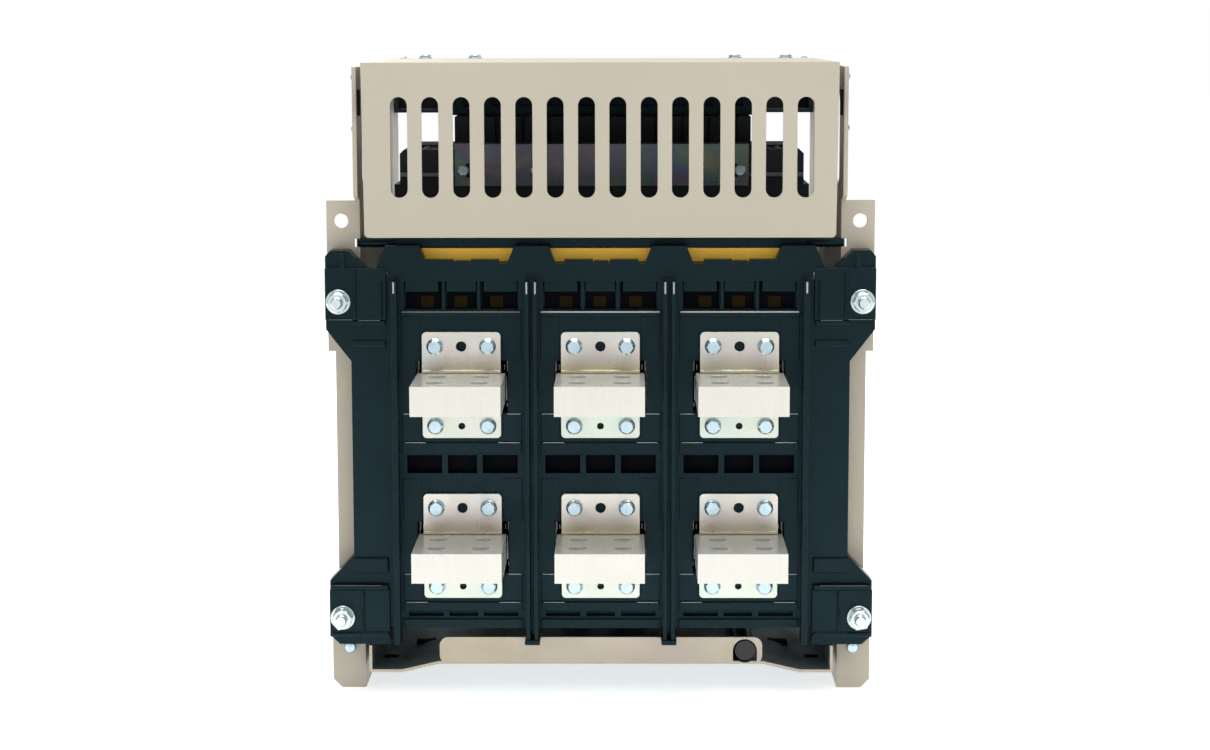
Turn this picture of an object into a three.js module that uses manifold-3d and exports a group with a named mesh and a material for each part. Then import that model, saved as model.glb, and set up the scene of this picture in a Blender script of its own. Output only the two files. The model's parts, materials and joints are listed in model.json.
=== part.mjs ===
// Three-pole withdrawable air circuit breaker in its cradle, racked in to the connected position.
// Millimetres, +Z up. The feet stand on z = 0, the operator's front faces -Y, the rear terminals face +Y.
import * as THREE from "three";
import { mergeVertices } from "three/addons/utils/BufferGeometryUtils.js";
import Module from "manifold-3d";

const wasm = await Module();
wasm.setup();

// ---- Driving dimensions ----
const gap = 0.3;
const sheet = 3;
const poleX = { left: -95, centre: 0, right: 95 };
const rowZ = { lower: 103.5, upper: 215.4 };
const rearFace = 141.5;
const basePanel = 138;
const flangeFace = 121.5;

const bar = { w: 30, half: 10, rear: 210.5, holeR: 6, holePitch: 30, holeInset: 19.5 };
const neck = { w: 20, half: 6, front: 97 };
const bracket = { w: 27, above: 38.1, below: 35.1, corner: 3, upperHole: 28.2, lowerHole: 26.7 };
const bendLip = { reach: 3, thick: 1.6 };
const blade = { w: 30, half: 6, front: -10, rear: 93 };
const jaw = { halfWidth: 34, halfHeight: 16, front: 72, rear: 112, slitDepth: 15 };

const cradle = { web: 165, front: -188, earTop: 342, top: 433, flange: 188, flangeMid: 183, step: 238 };
const base = { half: 170.5, lug: 187.5, shoulder: 289, crest: 300, bottom: 47, front: 58, ribDepth: 13.5 };
const shield = { top: 436, bottom: 318, halfTop: 161.3, halfBottom: 160, front: -110, sheet: 2 };
const topScrew = { x: [-140, -101, 98, 136], y: -103, r: 3.4, top: 438.8 };
const slots = { count: 14, pitch: 21.15, width: 11.5, low: 345, high: 413, centre: -1.5 };
const tray = { half: 161, low: 15, step: 138, high: 21, lip: 112, lipTop: 40, rear: 138, sheet: 2 };
const shutter = { y: 51, thick: 3, offset: 37, height: 26, halfWidth: 142 };
const housing = { half: 150, front: -118, rear: 20, bottom: 56, ledge: 347, top: 372, chamber: 42 };
const crossRod = { y: 119, z: 313, r: 3.4 };
const shaft = { y: -92, z: 150, r: 11, half: 141, armR: 22 };
const contact = { y: -30, z: 120, r: 5, half: 140 };
const cover = { half: 150, front: -148, top: 362, wall: 4 };
const bezel = { half: 112, front: -178, low: 92, high: 345 };
const trip = { x0: 4.5, x1: 97.5, z0: 186.5, z1: 335.5, front: -186 };
const handle = { x0: -101, x1: -81, y: -191, z: 160, r: 9, top: 300, grip: -210.5 };
const crank = { x: -100, z: 30.8, tubeR: 7, boreR: 5.5, rodR: 4.5 };
const screw = { z: 37, r: 7, front: -194, rear: 40 };

// ---- Materials ----
const finish = (color, roughness, metalness) => ({ color, roughness, metalness });
const beige = finish(0xcdc6b4, 0.45, 0.1);
const black = finish(0x1a232b, 0.4, 0);
const silver = finish(0xe6e6e0, 0.3, 0.9);
const copper = finish(0xc8a878, 0.35, 0.9);
const zinc = finish(0xd6d2c4, 0.35, 0.8);
const chromate = finish(0xa89e86, 0.4, 0.7);
const galvanised = finish(0x8d949c, 0.45, 0.7);
const steel = finish(0x9aa0a6, 0.4, 0.8);
const amber = finish(0xb07e2c, 0.6, 0);
const grey = finish(0x6d7276, 0.5, 0);
const clear = finish(0xdfe6ea, 0.1, 0);
const green = finish(0x2f8a4a, 0.4, 0);
const red = finish(0xb32a26, 0.4, 0);

// ---- Geometry helpers ----
const asYZ = new THREE.Matrix4().makeBasis(
  new THREE.Vector3(0, 1, 0),
  new THREE.Vector3(0, 0, 1),
  new THREE.Vector3(1, 0, 0),
);
const asXZ = new THREE.Matrix4().makeRotationX(Math.PI / 2);

function solid(geometry) {
  const bare = geometry.clone();
  bare.deleteAttribute("normal");
  bare.deleteAttribute("uv");
  const merged = mergeVertices(bare, 1e-4);
  return new wasm.Manifold(
    new wasm.Mesh({
      numProp: 3,
      vertProperties: new Float32Array(merged.attributes.position.array),
      triVerts: new Uint32Array(merged.index.array),
    }),
  );
}

const join = (parts) => parts.reduce((a, b) => a.add(b));
const cut = (body, tools) => tools.reduce((a, b) => a.subtract(b), body);

function block(x0, x1, y0, y1, z0, z1) {
  const g = new THREE.BoxGeometry(x1 - x0, y1 - y0, z1 - z0);
  return solid(g.translate((x0 + x1) / 2, (y0 + y1) / 2, (z0 + z1) / 2));
}

function rod(axis, r, centre, from, to, sides = 20) {
  const g = new THREE.CylinderGeometry(r, r, to - from, sides);
  const middle = (from + to) / 2;
  if (axis === "x") g.rotateZ(-Math.PI / 2).translate(middle, centre[0], centre[1]);
  if (axis === "y") g.translate(centre[0], middle, centre[1]);
  if (axis === "z") g.rotateX(Math.PI / 2).translate(centre[0], centre[1], middle);
  return solid(g);
}

function outline(points) {
  return new THREE.Shape(points.map(([u, v]) => new THREE.Vector2(u, v)));
}

function roundedRect(u0, u1, v0, v1, r) {
  const s = new THREE.Shape();
  s.moveTo(u0 + r, v0);
  s.lineTo(u1 - r, v0);
  s.absarc(u1 - r, v0 + r, r, -Math.PI / 2, 0);
  s.lineTo(u1, v1 - r);
  s.absarc(u1 - r, v1 - r, r, 0, Math.PI / 2);
  s.lineTo(u0 + r, v1);
  s.absarc(u0 + r, v1 - r, r, Math.PI / 2, Math.PI);
  s.lineTo(u0, v0 + r);
  s.absarc(u0 + r, v0 + r, r, Math.PI, 1.5 * Math.PI);
  return s;
}

function extrude(shape, depth, segments = 4) {
  return new THREE.ExtrudeGeometry(shape, { depth, bevelEnabled: false, curveSegments: segments });
}

// An outline drawn in X and Z, between two Y values.
function slabXZ(shape, y0, y1, segments) {
  return solid(extrude(shape, y1 - y0, segments).applyMatrix4(asXZ).translate(0, y1, 0));
}

// An outline drawn in Y and Z, between two X values.
function slabYZ(shape, x0, x1, segments) {
  return solid(extrude(shape, x1 - x0, segments).applyMatrix4(asYZ).translate(x0, 0, 0));
}

// The same solid on both sides of the middle plane: make is called with +1 and -1.
const bothSides = (make) => [make(1), make(-1)];

// A block given by its distances from the middle plane, on the side given by the sign.
function sideBlock(sign, near, far, y0, y1, z0, z1) {
  return block(Math.min(sign * near, sign * far), Math.max(sign * near, sign * far), y0, y1, z0, z1);
}

const mirrored = (points) => [...points, ...points.map(([x, z]) => [-x, z]).reverse()];

const model = new THREE.Group();

function addPart(name, body, look) {
  const mesh = body.getMesh();
  const g = new THREE.BufferGeometry();
  g.setAttribute("position", new THREE.BufferAttribute(new Float32Array(mesh.vertProperties), 3));
  g.setIndex(new THREE.BufferAttribute(new Uint32Array(mesh.triVerts), 1));
  g.computeVertexNormals();
  const part = new THREE.Mesh(g, new THREE.MeshStandardMaterial(look));
  part.name = name;
  model.add(part);
}

function forEachTerminal(make) {
  for (const [row, z] of Object.entries(rowZ))
    for (const [side, x] of Object.entries(poleX)) make(x, z, `${row}_${side}`);
}

// ---- Cradle: side plates with rear flanges, ears, feet, rail guides and an upper window ----
function sidePlate(sign) {
  const web = [
    [cradle.front, 0],
    [flangeFace, 0],
    [flangeFace, cradle.earTop],
    [135, 346],
    [135, cradle.top],
    [cradle.front, cradle.top],
  ];
  const inner = cradle.web;
  const flange = outline([
    [inner, 0],
    [cradle.flange - 6, 0],
    [cradle.flange, 6],
    [cradle.flange, 75],
    [cradle.flangeMid, 75],
    [cradle.flangeMid, cradle.step],
    [cradle.flange, cradle.step],
    [cradle.flange, cradle.earTop],
    [inner, cradle.earTop],
  ]);
  const rearFlange = slabXZ(flange, flangeFace - sheet, flangeFace);
  const parts = [
    slabYZ(outline(web), inner, inner + sheet),
    cut(rearFlange, [rod("y", 5, [178, 328], 110, 130, 16)]),
    block(inner, inner + 14, cradle.front, cradle.front + sheet, 20, cradle.top - 8),
    block(inner + sheet - 1, cradle.flange, -170, -120, 0, sheet),
    block(inner + sheet - 1, cradle.flange, 50, 100, 0, sheet),
    block(158.3, inner + 1, cradle.front, 50, 64, 84),
  ];
  const holes = [
    slabYZ(roundedRect(-60, 100, 352, 414, 8), inner - 1, inner + sheet + 1),
    rod("x", 6, [-150, 140], inner - 1, inner + sheet + 1, 16),
    rod("x", 6, [-150, 320], inner - 1, inner + sheet + 1, 16),
    rod("x", crossRod.r + 0.4, [crossRod.y, crossRod.z], inner - 1, inner + sheet + 1, 16),
  ];
  const right = cut(join(parts), holes);
  return sign > 0 ? right : right.mirror([1, 0, 0]);
}

function bottomTray() {
  const t = tray.sheet;
  const profile = mirrored([
    [tray.half, 60],
    [tray.half, tray.low],
    [tray.step, tray.low],
    [tray.lip, tray.high],
  ]);
  const inside = mirrored([
    [tray.half - t, 60],
    [tray.half - t, tray.low + t],
    [tray.step + 0.4, tray.low + t],
    [tray.lip + 0.4, tray.high + t],
  ]);
  const section = outline([...profile, ...inside.reverse()]);
  const lip = roundedRect(-tray.lip, tray.lip, tray.high, tray.lipTop, 6);
  const frontLip = roundedRect(-tray.lip, tray.lip, tray.high, 54, 5);
  const front = cradle.front + 2;
  const body = join([
    slabXZ(section, front, tray.rear),
    slabXZ(lip, tray.rear - t, tray.rear),
    slabXZ(frontLip, front, front + t),
  ]);
  const archZ = crank.z - 0.6;
  return cut(body, [
    rod("y", 8.3, [crank.x, archZ], 130, 145, 20),
    block(crank.x - 8.3, crank.x + 8.3, 130, 145, tray.high + t, archZ),
    rod("y", 9.5, [crank.x, crank.z + 2], front - 5, front + 5, 20),
    rod("y", screw.r + 0.6, [0, screw.z], front - 5, front + 5, 20),
    block(30, 58, front - 5, front + 5, 33, 43),
    ...bothSides((s) => sideBlock(s, 158, 162, flangeFace - 1, tray.rear + 1, 34, 61)),
    ...bothSides((s) => sideBlock(s, 120, 134, 60, 68, 10, 24)),
    ...bothSides((s) => sideBlock(s, 144, 154, 95, 103, 10, 24)),
  ]);
}

// ---- Moulded rear base: back plate with lugs, phase-barrier slots, pockets, and six contact chambers ----
function baseBackPlate() {
  return slabXZ(
    outline(
      mirrored([
        [146, base.bottom],
        [146, 35],
        [181, 35],
        [base.lug, 41],
        [base.lug, 80],
        [base.half, 98],
        [base.half, 233],
        [base.lug, 255],
        [base.lug, 305],
        [184, 309],
        [172, 309],
        [160, 297],
        [150, base.shoulder],
        [145, base.shoulder],
        [145, base.crest],
      ]),
    ),
    flangeFace + gap,
    basePanel,
  );
}

function baseRibs() {
  const y0 = basePanel - 4;
  const y1 = basePanel + base.ribDepth;
  const outer = bothSides((s) => sideBlock(s, 138, 142, y0, y1, 37.6, base.shoulder));
  const pairs = [-47, 47].flatMap((x) => [
    block(x - 4, x - 1.5, y0, y1, 37.6, base.shoulder),
    block(x + 1.5, x + 4, y0, y1, 37.6, base.shoulder),
    block(x - 4, x + 4, y0, basePanel + 3, 37.6, base.shoulder),
  ]);
  const bayWalls = Object.values(poleX).flatMap((x) => [
    block(x - 41, x + 41, y0, basePanel + 3, 264.5, 267.5),
    block(x - 41, x + 41, y0, basePanel + 2.5, base.bottom, 53),
  ]);
  return [...outer, ...pairs, ...bayWalls];
}

function baseLugs() {
  const y1 = rearFace;
  return bothSides((s) => s).flatMap((s) => [
    sideBlock(s, 146, base.lug, basePanel - 4, y1, 262, 297),
    sideBlock(s, 146, base.lug, basePanel - 4, y1, 41, 74),
    sideBlock(s, 174, 177, basePanel - 4, y1, 297, 307),
  ]);
}

function phaseWall(x) {
  const half = 19;
  const z0 = base.crest - 6;
  const shape = outline([
    [x - half, z0],
    [x + half, z0],
    [x + half - 7.3, 312],
    [x - half + 7.3, 312],
  ]);
  return slabXZ(shape, flangeFace + gap + 5, basePanel);
}

function baseChamberWalls() {
  const outer = block(-158, 158, base.front, flangeFace + 2, base.bottom, 285);
  const hollows = [];
  forEachTerminal((x, z) => {
    const low = z < 150 ? 53 : 165;
    const high = z < 150 ? 157 : 279;
    hollows.push(block(x - 41, x + 41, base.front + 4, flangeFace + 1, low, high));
    hollows.push(block(x - 33, x + 33, base.front - 1, base.front + 5, z - 9, z + 9));
  });
  return cut(outer, hollows);
}

function basePockets() {
  const tools = [];
  for (const x of Object.values(poleX)) {
    for (const [from, to] of [
      [-38, -14],
      [-10, 10],
      [14, 38],
    ]) {
      tools.push(block(x + from, x + to, basePanel - 9, basePanel + 1, 155.4, 168));
      tools.push(block(x + from - 1, x + to + 1, basePanel - 8, basePanel + 1, 268.5, 288));
      tools.push(block(x + from, x + to, basePanel - 5, basePanel + 1, 55, 58.5));
    }
  }
  forEachTerminal((x, z) => {
    tools.push(block(x - 31.5, x + 31.5, flangeFace - 3, basePanel + 1, z - 18, z + 18));
  });
  return tools;
}

function rearBase() {
  const shell = join([baseBackPlate(), baseChamberWalls(), ...baseRibs(), ...baseLugs()]);
  const walls = [-135, -47, 47, 135].map(phaseWall);
  const tab = (x0, x1, rise) => block(x0, x1, flangeFace + 8, basePanel, base.crest - 1, base.crest + rise);
  const tabs = Object.values(poleX).flatMap((x) => [
    tab(x - 25.9, x - 6.6, 2.8),
    tab(x - 5.3, x + 4.1, 2),
    tab(x + 5.1, x + 24.4, 2.8),
  ]);
  const lipRelief = block(-tray.lip - 1, tray.lip + 1, 120, basePanel + 0.4, 30, tray.lipTop + 0.4);
  return cut(join([shell, ...walls, ...tabs]), [...basePockets(), lipRelief]);
}

// ---- Power path fixed in the cradle: terminal bars, bracket plates and jaw contacts ----
function terminal(x, z) {
  const outer = block(x - bar.w, x + bar.w, rearFace + gap, bar.rear, z - bar.half, z + bar.half);
  const inner = block(x - neck.w, x + neck.w, neck.front, 146, z - neck.half, z + neck.half);
  const holes = [];
  for (const dx of [-bar.holePitch / 2, bar.holePitch / 2])
    for (const dy of [bar.holeInset, bar.holeInset + 30])
      holes.push(rod("z", bar.holeR, [x + dx, bar.rear - dy], z - 12, z + 12, 16));
  return cut(join([outer, inner]), holes);
}

function bracketPlate(x, z) {
  const w = bracket.w;
  const shape = roundedRect(x - w, x + w, z - bracket.below, z + bracket.above, bracket.corner);
  const barTop = z + bar.half + gap;
  const lip = block(x - w, x + w, rearFace - 1, rearFace + bendLip.reach, barTop, barTop + bendLip.thick);
  return cut(join([slabXZ(shape, rearFace - sheet, rearFace), lip]), [
    block(x - neck.w - 0.5, x + neck.w + 0.5, 130, 150, z - neck.half - 0.5, z + neck.half + 0.5),
    rod("y", 3.5, [x, z + bracket.upperHole], 130, 150, 12),
    rod("y", 2.25, [x, z - bracket.lowerHole], 130, 150, 12),
  ]);
}

function jawContact(x, z) {
  const w = jaw.halfWidth;
  const h = jaw.halfHeight;
  const tools = [block(x - 30.5, x + 30.5, jaw.front - 1, jaw.rear + 1, z - 6.4, z + 6.4)];
  for (let i = -2; i <= 2; i++) {
    const c = x + i * 12;
    tools.push(block(c - 1, c + 1, jaw.front - 1, jaw.front + jaw.slitDepth, z - h - 1, z + h + 1));
    tools.push(block(c - 1, c + 1, jaw.rear - jaw.slitDepth, jaw.rear + 1, z - h - 1, z + h + 1));
  }
  return cut(block(x - w, x + w, jaw.front, jaw.rear, z - h, z + h), tools);
}

// ---- Top of the cradle ----
function ventedShield() {
  const s = outline([
    [-shield.halfBottom + 2, shield.bottom],
    [shield.halfBottom - 2, shield.bottom],
    [shield.halfBottom, shield.bottom + 2],
    [shield.halfTop, shield.top],
    [-shield.halfTop, shield.top],
    [-shield.halfBottom, shield.bottom + 2],
  ]);
  const r = slots.width / 2;
  for (let i = 0; i < slots.count; i++) {
    const x = slots.centre + (i - (slots.count - 1) / 2) * slots.pitch;
    s.holes.push(roundedRect(x - r, x + r, slots.low, slots.high, r - 0.01));
  }
  const t = shield.sheet;
  const screws = topScrew.x.map((x) => rod("z", topScrew.r, [x, topScrew.y], shield.top - 1, topScrew.top, 18));
  return join([
    slabXZ(s, rearFace - t, rearFace),
    block(-shield.halfTop, shield.halfTop, shield.front, rearFace, shield.top - t, shield.top),
    ...screws,
  ]);
}

function frontCrossbar() {
  const half = cradle.web - gap;
  const channel = block(-half, half, cradle.front, -152, 393, 433);
  return cut(channel, [block(-half + 3, half - 3, cradle.front + 3, -151, 396, 430)]);
}

function secondarySocket() {
  const body = block(-115, 115, -150, -92, 393, 431);
  const ports = [];
  for (let i = 0; i < 10; i++) {
    const x = -99 + i * 22;
    ports.push(block(x - 8, x + 8, -99.5, -91, 400, 424));
  }
  return cut(body, ports);
}

function rearCrossRod() {
  const c = crossRod;
  return join([block(-140, 140, c.y - 5, c.y + 5, 309, 317), rod("x", c.r, [c.y, c.z], -167, 167, 12)]);
}

// ---- Racking parts in the tray ----
function crankTube() {
  const tube = rod("y", crank.tubeR, [crank.x, crank.z], -170, 139, 20);
  return cut(tube, [rod("y", crank.boreR, [crank.x, crank.z], -171, 130, 20)]);
}

function rackingCrank() {
  return join([
    rod("y", crank.rodR, [crank.x, crank.z], -199, 110, 16),
    rod("y", 7, [crank.x, crank.z], -204, -190.5, 20),
  ]);
}

function leadScrew() {
  return join([
    rod("y", screw.r, [0, screw.z], -180, screw.rear, 20),
    rod("y", 5, [0, screw.z], screw.front, -179, 8),
  ]);
}

function rackingYoke() {
  const body = block(-32, 32, -20, 12, 26, 54);
  return cut(body, [rod("y", screw.r + 0.5, [0, screw.z], -25, 20, 20)]);
}

function rail(sign) {
  return join([
    sideBlock(sign, 154.5, 158, cradle.front + 3, 50, 50, 92),
    sideBlock(sign, 146, 158, cradle.front + 3, 50, 50, 53),
    sideBlock(sign, 151, 158, cradle.front + 3, 50, 89, 92),
  ]);
}

// A shutter sheet whose stiffening fold lies along the edge that stays away from the blades.
function shutterPlate(z0, foldZ) {
  const w = shutter.halfWidth;
  return join([
    block(-w, w, shutter.y, shutter.y + shutter.thick, z0, z0 + shutter.height),
    block(-w, w, shutter.y - 4, shutter.y + 1, foldZ, foldZ + 2),
  ]);
}

function positionIndicator() {
  return block(36, 62, cradle.front + 5, cradle.front + 7, 31, 45);
}

// ---- Breaker: moulded housing with three chambers and a mechanism bay ----
function breakerHousing() {
  const h = housing;
  const chamfer = 8;
  const shape = outline(
    mirrored([
      [h.half - chamfer, h.bottom],
      [h.half, h.bottom + chamfer],
      [h.half, h.ledge],
      [h.half - 4, h.ledge],
      [h.half - 4, h.top - 3],
      [h.half - 7, h.top],
    ]),
  );
  const tools = [
    block(-142, 142, h.front - 1, -66, 70, 350),
    rod("x", contact.r + 0.6, [contact.y, contact.z], -140.6, 140.6, 16),
  ];
  for (const x of Object.values(poleX)) {
    tools.push(block(x - h.chamber, x + h.chamber, -58, 8, 70, h.top + 1));
    tools.push(block(x - 8, x + 8, -67, -57, 130, 190));
    tools.push(block(x - 36, x + 36, 7, 21, 284, 332));
  }
  forEachTerminal((x, z) => {
    tools.push(block(x - 30.4, x + 30.4, 7, 21, z - 6.4, z + 6.4));
  });
  return cut(slabXZ(shape, h.front, h.rear), tools);
}

function arcChute(x) {
  const slits = [];
  for (let i = 0; i < 8; i++) {
    const y = -49 + i * 6.5;
    slits.push(block(x - 34, x + 34, y, y + 3, 261, 352));
  }
  const body = join([block(x - 38, x + 38, -54, 5, 262, 366), block(x - 35, x + 35, 4, 18, 286, 330)]);
  return cut(body, slits);
}

function chuteClampBar() {
  const rear = housing.rear + gap;
  const upright = block(-106, 106, rear, rear + sheet, 346, 376);
  const folded = block(-106, 106, -2, rear + sheet, 374, 376);
  const latches = Object.values(poleX).map((x) => block(x - 3, x + 3, 15, 30, 352, 362));
  return cut(join([upright, folded]), latches);
}

function secondaryPlug() {
  const top = 392.6;
  const body = block(-112, 112, -125, -70, housing.top + gap, top);
  const grooves = [];
  for (let i = 0; i < 11; i++) {
    const x = -100 + i * 20;
    grooves.push(block(x - 1.5, x + 1.5, -74, -69, housing.top, top + 1));
  }
  return cut(body, grooves);
}

const mainBlade = (x, z) =>
  block(x - blade.w, x + blade.w, blade.front, blade.rear, z - blade.half, z + blade.half);

function mainShaft() {
  const arms = Object.values(poleX).map((x) =>
    block(x - 6, x + 6, shaft.y - 6, shaft.y + 6, shaft.z - shaft.armR, shaft.z + 2),
  );
  return join([rod("x", shaft.r, [shaft.y, shaft.z], -shaft.half, shaft.half, 24), ...arms]);
}

function movingContacts() {
  const arms = Object.values(poleX).flatMap((x) => [
    block(x - 20, x + 20, -35, -25, 112, 224),
    block(x - 18, x + 18, -26, -10.6, 208, 222),
  ]);
  return join([rod("x", contact.r, [contact.y, contact.z], -contact.half, contact.half, 16), ...arms]);
}

function mechanism() {
  const plates = bothSides((s) => sideBlock(s, 34, 37, -114, -69, 85, 300));
  const frame = join([...plates, block(-37, 37, -114, -69, 294, 300), block(-37, 37, -114, -69, 85, 91)]);
  const spring = rod("z", 13, [0, -92], 186, 295, 20);
  return cut(join([frame, spring]), [rod("x", shaft.r + 0.6, [shaft.y, shaft.z], -40, 40, 24)]);
}

// ---- Front of the breaker ----
function frontCover() {
  const c = cover;
  const back = housing.front - gap;
  const plate = slabXZ(roundedRect(-c.half, c.half, housing.bottom, c.top, 8), c.front, back);
  const raised = roundedRect(-bezel.half, bezel.half, bezel.low, bezel.high, 10);
  const outside = join([plate, slabXZ(raised, bezel.front, c.front + 2)]);
  const w = c.wall;
  const hollow = join([
    block(-c.half + w, c.half - w, c.front + w, back + 1, housing.bottom + w, c.top - w),
    block(-bezel.half + w, bezel.half - w, bezel.front + w, c.front + w + 1, bezel.low + w, bezel.high - w),
  ]);
  const ears = [handle.x0 - 4.5, handle.x1 + 0.5].map((x) =>
    join([
      block(x, x + 4, handle.y - 2, bezel.front + 1, handle.z - 10, handle.z + 10),
      rod("x", 10, [handle.y, handle.z], x, x + 4, 20),
    ]),
  );
  const front = bezel.front - 1;
  const openings = [
    block(trip.x0 - 0.5, trip.x1 + 0.5, front, front + 8, trip.z0 - 0.5, trip.z1 + 0.5),
    rod("y", 10.6, [-30, 124], front, front + 8, 20),
    rod("y", 10.6, [-62, 124], front, front + 8, 20),
    block(-62, -50, front, front + 8, 198, 208),
    block(-24, -12, front, front + 8, 224, 234),
  ];
  return cut(join([cut(outside, [hollow]), ...ears]), openings);
}

function tripUnit() {
  const body = block(trip.x0, trip.x1, trip.front, -122, trip.z0, trip.z1);
  const display = block(16, 74, trip.front - 1, trip.front + 2, 276, 318);
  const keys = block(14, 88, trip.front - 1, trip.front + 1.5, 196, 256);
  const resetBore = rod("y", 5, [86, 322], trip.front - 1, -172, 16);
  return cut(body, [display, keys, resetBore]);
}

function tripCover() {
  return join([block(8, 94, -190.4, -187.8, 191, 262), rod("x", 1.8, [-188.5, 191], 8, 94, 12)]);
}

function chargingHandle() {
  const h = handle;
  return join([
    rod("x", h.r, [h.y, h.z], h.x0, h.x1, 20),
    block(h.x0, h.x1, h.y - h.r, h.y + h.r - 1, h.z, h.top),
    slabYZ(
      outline([
        [h.y - h.r + 1, 262],
        [h.y - h.r + 1, h.top],
        [h.grip, h.top],
        [h.grip, 268],
      ]),
      h.x0,
      h.x1,
    ),
  ]);
}

// ---- Assembly ----
addPart("side_plate_right", sidePlate(1), beige);
addPart("side_plate_left", sidePlate(-1), beige);
addPart("bottom_tray", bottomTray(), galvanised);
addPart("rear_base", rearBase(), black);
forEachTerminal((x, z, name) => {
  addPart(`terminal_${name}`, terminal(x, z), silver);
  addPart(`bracket_${name}`, bracketPlate(x, z), zinc);
  addPart(`jaw_${name}`, jawContact(x, z), copper);
  addPart(`blade_${name}`, mainBlade(x, z), silver);
});
addPart("vented_shield", ventedShield(), beige);
addPart("front_crossbar", frontCrossbar(), grey);
addPart("secondary_socket", secondarySocket(), black);
addPart("rear_cross_rod", rearCrossRod(), black);
addPart("crank_tube", crankTube(), black);
addPart("racking_crank", rackingCrank(), zinc);
addPart("lead_screw", leadScrew(), steel);
addPart("racking_yoke", rackingYoke(), zinc);
addPart("position_indicator", positionIndicator(), green);
addPart("rail_right", rail(1), zinc);
addPart("rail_left", rail(-1), zinc);
const upperRest = rowZ.upper + shutter.offset;
const lowerRest = rowZ.lower - shutter.offset - shutter.height;
addPart("upper_shutter", shutterPlate(upperRest, upperRest + shutter.height - 2), grey);
addPart("lower_shutter", shutterPlate(lowerRest, lowerRest), grey);

addPart("breaker_housing", breakerHousing(), black);
for (const [side, x] of Object.entries(poleX)) addPart(`arc_chute_${side}`, arcChute(x), amber);
addPart("chute_clamp_bar", chuteClampBar(), chromate);
addPart("secondary_plug", secondaryPlug(), black);
addPart("main_shaft", mainShaft(), steel);
addPart("moving_contacts", movingContacts(), copper);
addPart("mechanism", mechanism(), zinc);
addPart("front_cover", frontCover(), grey);
addPart("trip_unit", tripUnit(), black);
addPart("trip_cover", tripCover(), clear);
addPart("reset_button", rod("y", 4.5, [86, 322], -190, -177, 16), red);
addPart("on_button", rod("y", 10, [-30, 124], -184, -160, 20), green);
addPart("off_button", rod("y", 10, [-62, 124], -184, -160, 20), red);
addPart("charging_handle", chargingHandle(), black);
addPart("state_flag", block(-70, -38, -173.4, -171.6, 195, 211), red);
addPart("charge_flag", block(-32, 0, -173.4, -171.6, 221, 237), amber);

export default model;
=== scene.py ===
import itertools
import json
import math

import bmesh
import bpy
from mathutils import Matrix, Vector


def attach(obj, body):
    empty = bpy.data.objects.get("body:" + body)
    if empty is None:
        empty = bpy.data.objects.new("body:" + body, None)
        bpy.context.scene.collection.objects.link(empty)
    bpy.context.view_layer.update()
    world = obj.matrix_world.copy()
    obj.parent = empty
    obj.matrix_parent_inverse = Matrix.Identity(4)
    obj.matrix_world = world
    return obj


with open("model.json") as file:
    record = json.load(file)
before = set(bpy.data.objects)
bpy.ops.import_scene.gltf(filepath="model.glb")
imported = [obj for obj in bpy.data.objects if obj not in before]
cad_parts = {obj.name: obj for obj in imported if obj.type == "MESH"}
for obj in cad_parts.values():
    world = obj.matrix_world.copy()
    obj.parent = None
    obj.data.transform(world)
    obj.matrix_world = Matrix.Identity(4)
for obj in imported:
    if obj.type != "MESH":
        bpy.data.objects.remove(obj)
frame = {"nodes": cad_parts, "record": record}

MM = 0.001
BACK = (0, 1, 0)
FORWARD = (0, -1, 0)
UP = (0, 0, 1)
CORNER = math.radians(32)
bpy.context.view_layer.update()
NODES = frame["nodes"]

# Fasteners and the crank's knob: sizes, spacings from a pole's middle or a row's height, and places.
BOLT_ACROSS = 8.8
FLANGE_R = 5.7
BOLT_SPREAD = 18.0
BOLT_UP = 28.2
BOLT_DOWN = -26.7
STUD_X = 178.5
STUD_HEIGHTS = (274.3, 54.7)
SHIELD_SCREWS = (-140.0, -101.0, 98.0, 136.0)
SHIELD_SCREW_Y = -103.0
KNOB_RADIUS = 7.1
KNURLS = 60

# Middles of the poles, heights of the terminal rows, and the two sides of the cradle.
POLES = {"left": -95.0, "centre": 0.0, "right": 95.0}
ROWS = {"lower": 103.5, "upper": 215.4}
SIDES = {"right": 1, "left": -1}

# Faces that the added pieces sit on, in millimetres. These face the rear, along Y.
REAR = 141.5
PANEL = 138.0
RIB_FACE = 151.4
FLANGE = 121.5

# These face the operator, against Y.
CROSSBAR_FACE = -188.0
COVER_FACE = -178.0
TRIP_FACE = -186.0

# These face up, and the last two face out to each side.
SHIELD_TOP = 436.0
SOCKET_TOP = 431.0
CHUTE_TOP = 366.0
WEB_OUTER = 168.0
HOUSING_FLANK = 150.0

# Spans of the three pockets of a bay, and (place, low, high) of the fingers beside a terminal.
POCKETS = ((-37.6, -14.4), (-9.6, 9.6), (14.4, 37.6))
FINGERS = ((29.9, -12.0, 5.0), (30.6, 8.5, 15.5), (28.6, 9.5, 13.0), (30.4, -16.5, -14.0))

# The camera stands behind the rear terminals, a little above the top, and looks slightly down.
CAMERA_AT = (-0.01694, 1.8853, 0.4589)
CAMERA_TILT = 0.1339
CAMERA_YAW = 0.0079
CAMERA_ROLL = 0.0014
CAMERA_LENS = 76.63
FLOOR_GLOW = 0.62
WORLD_STRENGTH = 0.42


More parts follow.
